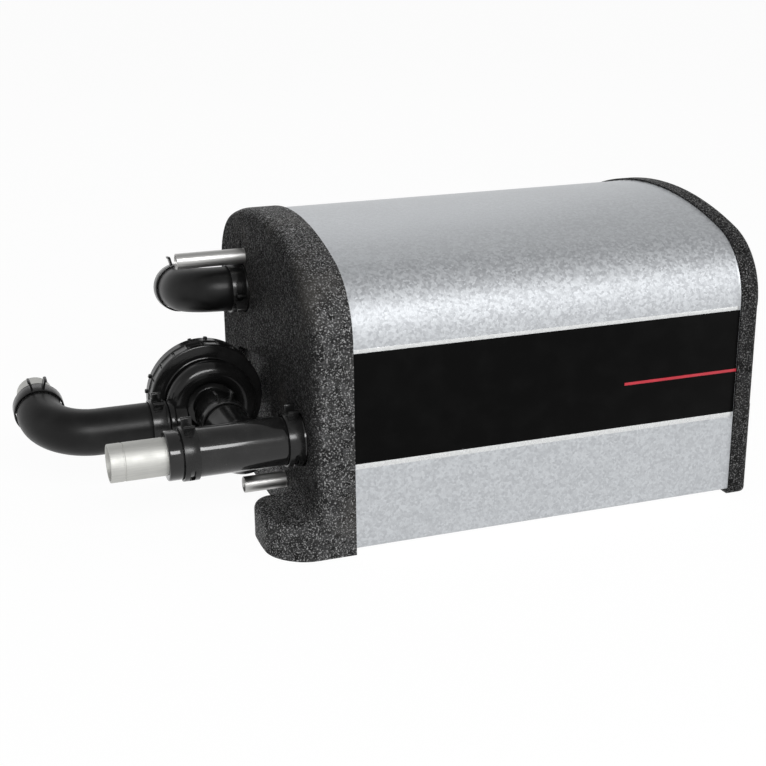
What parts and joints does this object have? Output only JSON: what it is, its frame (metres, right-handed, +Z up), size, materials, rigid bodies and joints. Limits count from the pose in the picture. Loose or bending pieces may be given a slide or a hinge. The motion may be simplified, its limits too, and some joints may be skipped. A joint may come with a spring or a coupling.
{
  "type": "caravan water heater",
  "caption": "Sheet-clad instant water heater for a caravan: arched foam-capped casing with a heat exchanger inside and a circulation pump, hoses and pipe stubs at the front.",
  "frame": {"origin": "centre of the front cap's base, on the floor that the unit stands on", "axes": "+X back along the casing from the pipe end to the rear end, +Z up, +Y to the far side, away from the label"},
  "size_m": [0.4392, 0.2209, 0.1815],
  "materials": {
    "foam": "black expanded foam beads, speckled and slightly shiny",
    "zinc_sheet": "galvanised sheet with a fine mottled spangle",
    "rivet_steel": "plain steel",
    "label_film": "black film, satin, bare",
    "stripe_film": "red film, satin",
    "stainless": "polished stainless steel",
    "pipe_alloy": "bright drawn aluminium",
    "sensor_brass": "turned brass",
    "tee_rubber": "smooth black rubber with a gloss",
    "hose_rubber": "smooth black rubber, satin",
    "clamp_steel": "black coated spring steel",
    "pump_plastic": "moulded black plastic, satin",
    "seal_rubber": "black rubber",
    "shaft_ceramic": "ground white ceramic",
    "carbon": "dark carbon filled plastic",
    "ferrite": "dark sintered magnet",
    "core_steel": "stacked steel sheets",
    "copper": "lacquered copper wire",
    "board": "green circuit board"
  },
  "bodies": {
    "unit": {"front_cap": "foam", "rear_cap": "foam", "casing_sheet": "zinc_sheet", "seam_rivets": "rivet_steel", "side_label": "label_film", "label_stripe": "stripe_film", "vessel_shell": "stainless", "vessel_front_plate": "stainless", "vessel_rear_plate": "stainless", "water_coil": "stainless", "cold_tube": "stainless", "hot_tube": "stainless", "coil_support": "stainless", "flow_spigot": "pipe_alloy", "return_spigot": "pipe_alloy", "return_pipe": "pipe_alloy", "flow_pipe": "pipe_alloy", "outlet_pipe": "pipe_alloy", "temperature_sensor": "sensor_brass", "return_tee_hose": "tee_rubber", "flow_hose": "hose_rubber", "outlet_hose": "hose_rubber", "return_pipe_clamp": "clamp_steel", "return_spigot_clamp": "clamp_steel", "flow_spigot_clamp": "clamp_steel", "flow_pipe_clamp": "clamp_steel", "pump_inlet_clamp": "clamp_steel", "pump_outlet_clamp": "clamp_steel", "outlet_pipe_clamp": "clamp_steel", "pump_volute": "pump_plastic", "lock_ring": "pump_plastic", "isolating_can": "pump_plastic", "motor_housing": "pump_plastic", "motor_cover": "pump_plastic", "volute_seal": "seal_rubber", "lead_grommet": "seal_rubber", "rotor_shaft": "shaft_ceramic", "thrust_washer": "carbon", "stator_core": "core_steel", "stator_windings": "copper", "control_board": "board"},
    "rotor": {"impeller": "carbon", "rotor_magnet": "ferrite", "rotor_bush": "carbon"}
  },
  "joints": [
    {"name": "rotor_spin", "type": "hinge", "parent": "unit", "child": "rotor", "pos_m": [-0.0445, 0.02, 0.0615], "axis": [0, -1, 0], "continuous": true}
  ]
}
